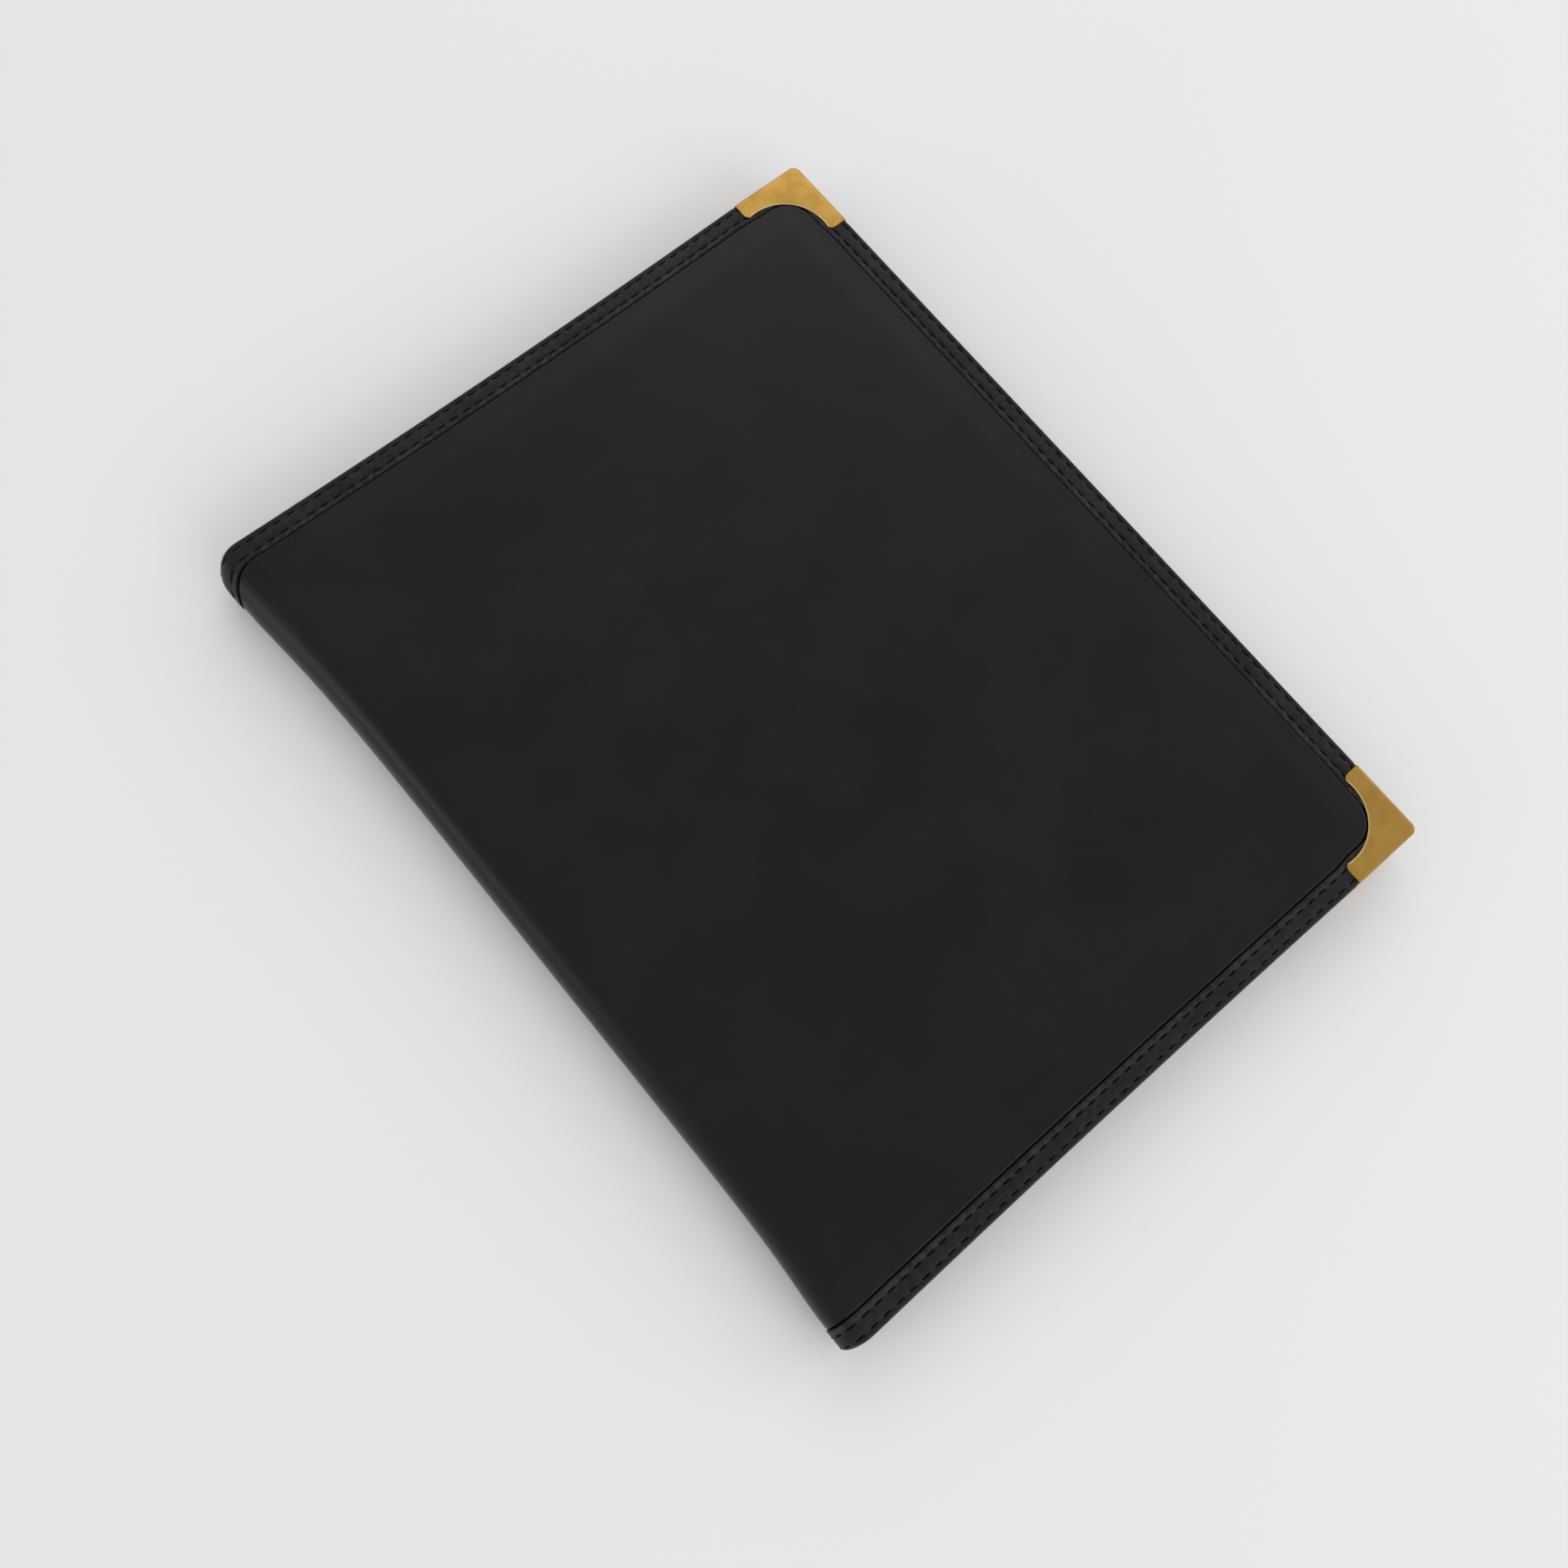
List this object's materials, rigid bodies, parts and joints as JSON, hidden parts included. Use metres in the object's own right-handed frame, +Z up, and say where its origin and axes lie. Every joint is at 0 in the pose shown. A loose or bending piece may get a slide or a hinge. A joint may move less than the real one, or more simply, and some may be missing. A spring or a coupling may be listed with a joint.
{
  "type": "menu folder",
  "caption": "Padded leather menu folder with a soft round spine, a sewn border strip and brass corner clips, closed and lying flat.",
  "frame": {"origin": "middle of the closed folder's footprint, on the surface it lies on", "axes": "+Z up out of the front cover, +Y towards the head, +X from the spine to the fore edge"},
  "size_m": [0.2452, 0.316, 0.021],
  "materials": {
    "leather": "smooth black leather, satin, lightly mottled",
    "border_leather": "black leather strip, satin, slightly rougher than the field",
    "thread": "black sewing thread",
    "brass": "satin gold-coloured brass",
    "board": "plain grey board, hidden",
    "foam": "soft foam, hidden",
    "lining": "black lining cloth",
    "vinyl": "clear pocket film"
  },
  "bodies": {
    "back_cover": {"back_skin": "leather", "back_padding": "foam", "back_board": "board", "back_lining": "lining", "back_pocket": "vinyl", "back_binding": "border_leather", "back_outer_seam": "thread", "back_inner_seam": "thread", "back_top_clip": "brass", "back_bottom_clip": "brass"},
    "spine": {"spine_skin": "leather", "spine_padding": "foam", "spine_lining": "lining", "spine_top_binding": "border_leather", "spine_top_outer_seam": "thread", "spine_top_inner_seam": "thread", "spine_bottom_binding": "border_leather", "spine_bottom_outer_seam": "thread", "spine_bottom_inner_seam": "thread"},
    "front_cover": {"front_skin": "leather", "front_padding": "foam", "front_board": "board", "front_lining": "lining", "front_pocket": "vinyl", "front_binding": "border_leather", "front_outer_seam": "thread", "front_inner_seam": "thread", "front_top_clip": "brass", "front_bottom_clip": "brass"}
  },
  "joints": [
    {"name": "spine_hinge", "type": "hinge", "parent": "back_cover", "child": "spine", "pos_m": [-0.11958, 0, 0.00308], "axis": [0, -1, 0], "range_deg": [0, 90]},
    {"name": "front_cover_hinge", "type": "hinge", "parent": "spine", "child": "front_cover", "pos_m": [-0.11958, 0, 0.01792], "axis": [0, -1, 0], "range_deg": [0, 90]}
  ]
}
